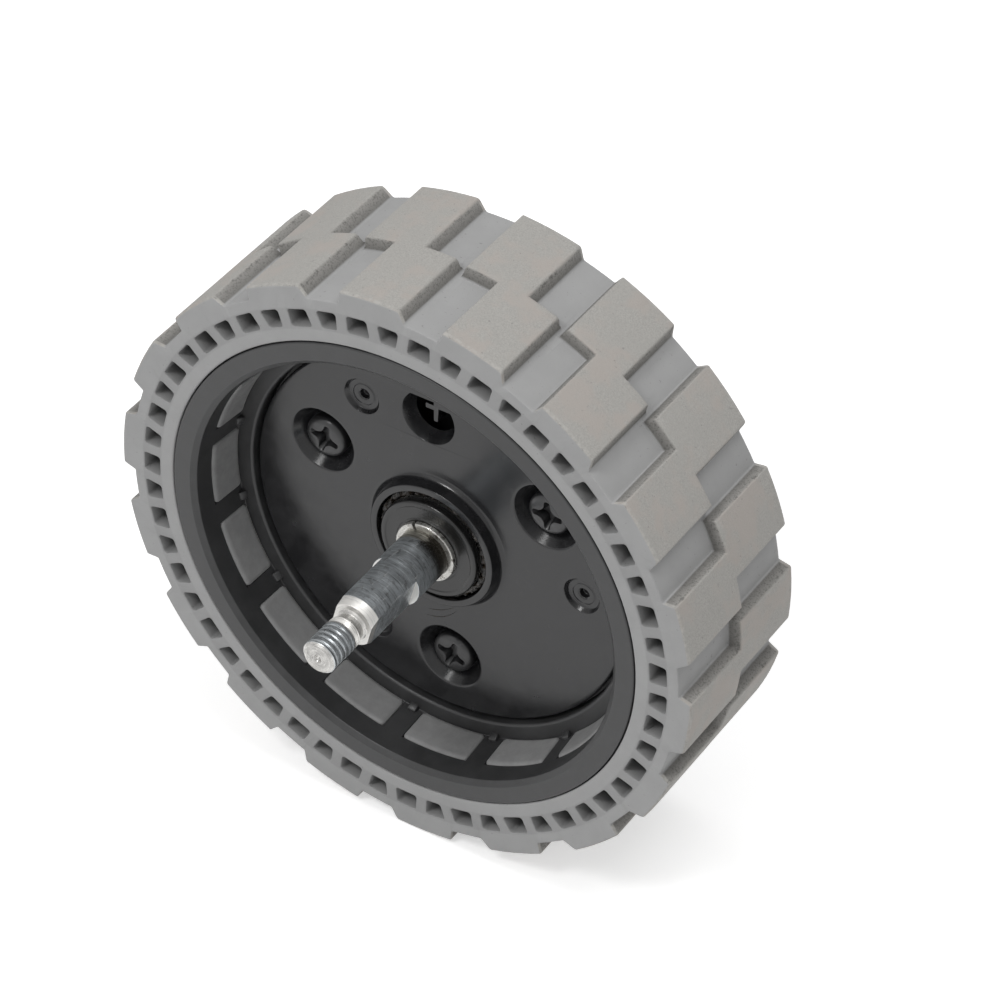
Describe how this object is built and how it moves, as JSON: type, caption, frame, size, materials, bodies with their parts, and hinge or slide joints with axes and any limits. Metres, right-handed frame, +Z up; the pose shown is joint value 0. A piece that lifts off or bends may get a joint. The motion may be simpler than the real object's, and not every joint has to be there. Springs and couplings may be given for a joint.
{
  "type": "drive wheel on stub axle",
  "caption": "Robot vacuum wheel: staggered block tread, cored rubber tyre, windowed rim with screwed hub cover, turning on ball bearings on a threaded double-D stub axle.",
  "frame": {"origin": "on the axle's axis, in the plane of the tyre's inboard face, which cuts the axle's round journal", "axes": "+Y along the axle from its threaded end into the wheel, +Z up, +X to the right seen from the threaded end"},
  "size_m": [0.072, 0.0353, 0.072],
  "materials": {
    "tyre_rubber": "matt grey rubber, fine moulded grain",
    "rim_plastic": "satin black moulded plastic",
    "cover_plastic": "semi-gloss black moulded plastic",
    "cap_plastic": "black moulded plastic",
    "axle_steel": "turned and milled bright steel",
    "spring_steel": "stamped spring steel",
    "screw_black": "black oxide steel",
    "washer_steel": "nickel-plated steel",
    "spacer_brass": "turned brass",
    "bearing_steel": "ground bearing steel",
    "ball_steel": "polished",
    "cage_plastic": "natural nylon"
  },
  "bodies": {
    "stub_axle": {"axle": "axle_steel", "front_dust_cap": "cap_plastic", "front_retaining_ring": "spring_steel", "rear_retaining_ring": "spring_steel", "bearing_spacer": "spacer_brass", "rear_washer": "washer_steel", "front_bearing_inner_ring": "bearing_steel", "rear_bearing_inner_ring": "bearing_steel"},
    "wheel": {"tyre": "tyre_rubber", "rim": "rim_plastic", "hub_cover": "cover_plastic", "cover_screws": "screw_black", "outer_cap": "rim_plastic", "front_bearing_outer_ring": "bearing_steel", "front_bearing_shields": "bearing_steel", "rear_bearing_outer_ring": "bearing_steel", "rear_bearing_shields": "bearing_steel"},
    "front_ball_set": {"front_bearing_balls": "ball_steel", "front_bearing_cage": "cage_plastic"},
    "rear_ball_set": {"rear_bearing_balls": "ball_steel", "rear_bearing_cage": "cage_plastic"}
  },
  "joints": [
    {"name": "wheel_spin", "type": "hinge", "parent": "stub_axle", "child": "wheel", "pos_m": [0, 0, 0], "axis": [0, 1, 0], "continuous": true},
    {"name": "front_ball_spin", "type": "hinge", "parent": "stub_axle", "child": "front_ball_set", "pos_m": [0, 0.0094, 0], "axis": [0, 1, 0], "continuous": true},
    {"name": "rear_ball_spin", "type": "hinge", "parent": "stub_axle", "child": "rear_ball_set", "pos_m": [0, 0.0148, 0], "axis": [0, 1, 0], "continuous": true}
  ],
  "couplings": [
    {"joint": "front_ball_spin", "follows": "wheel_spin", "ratio": 0.5842},
    {"joint": "rear_ball_spin", "follows": "wheel_spin", "ratio": 0.5842}
  ]
}
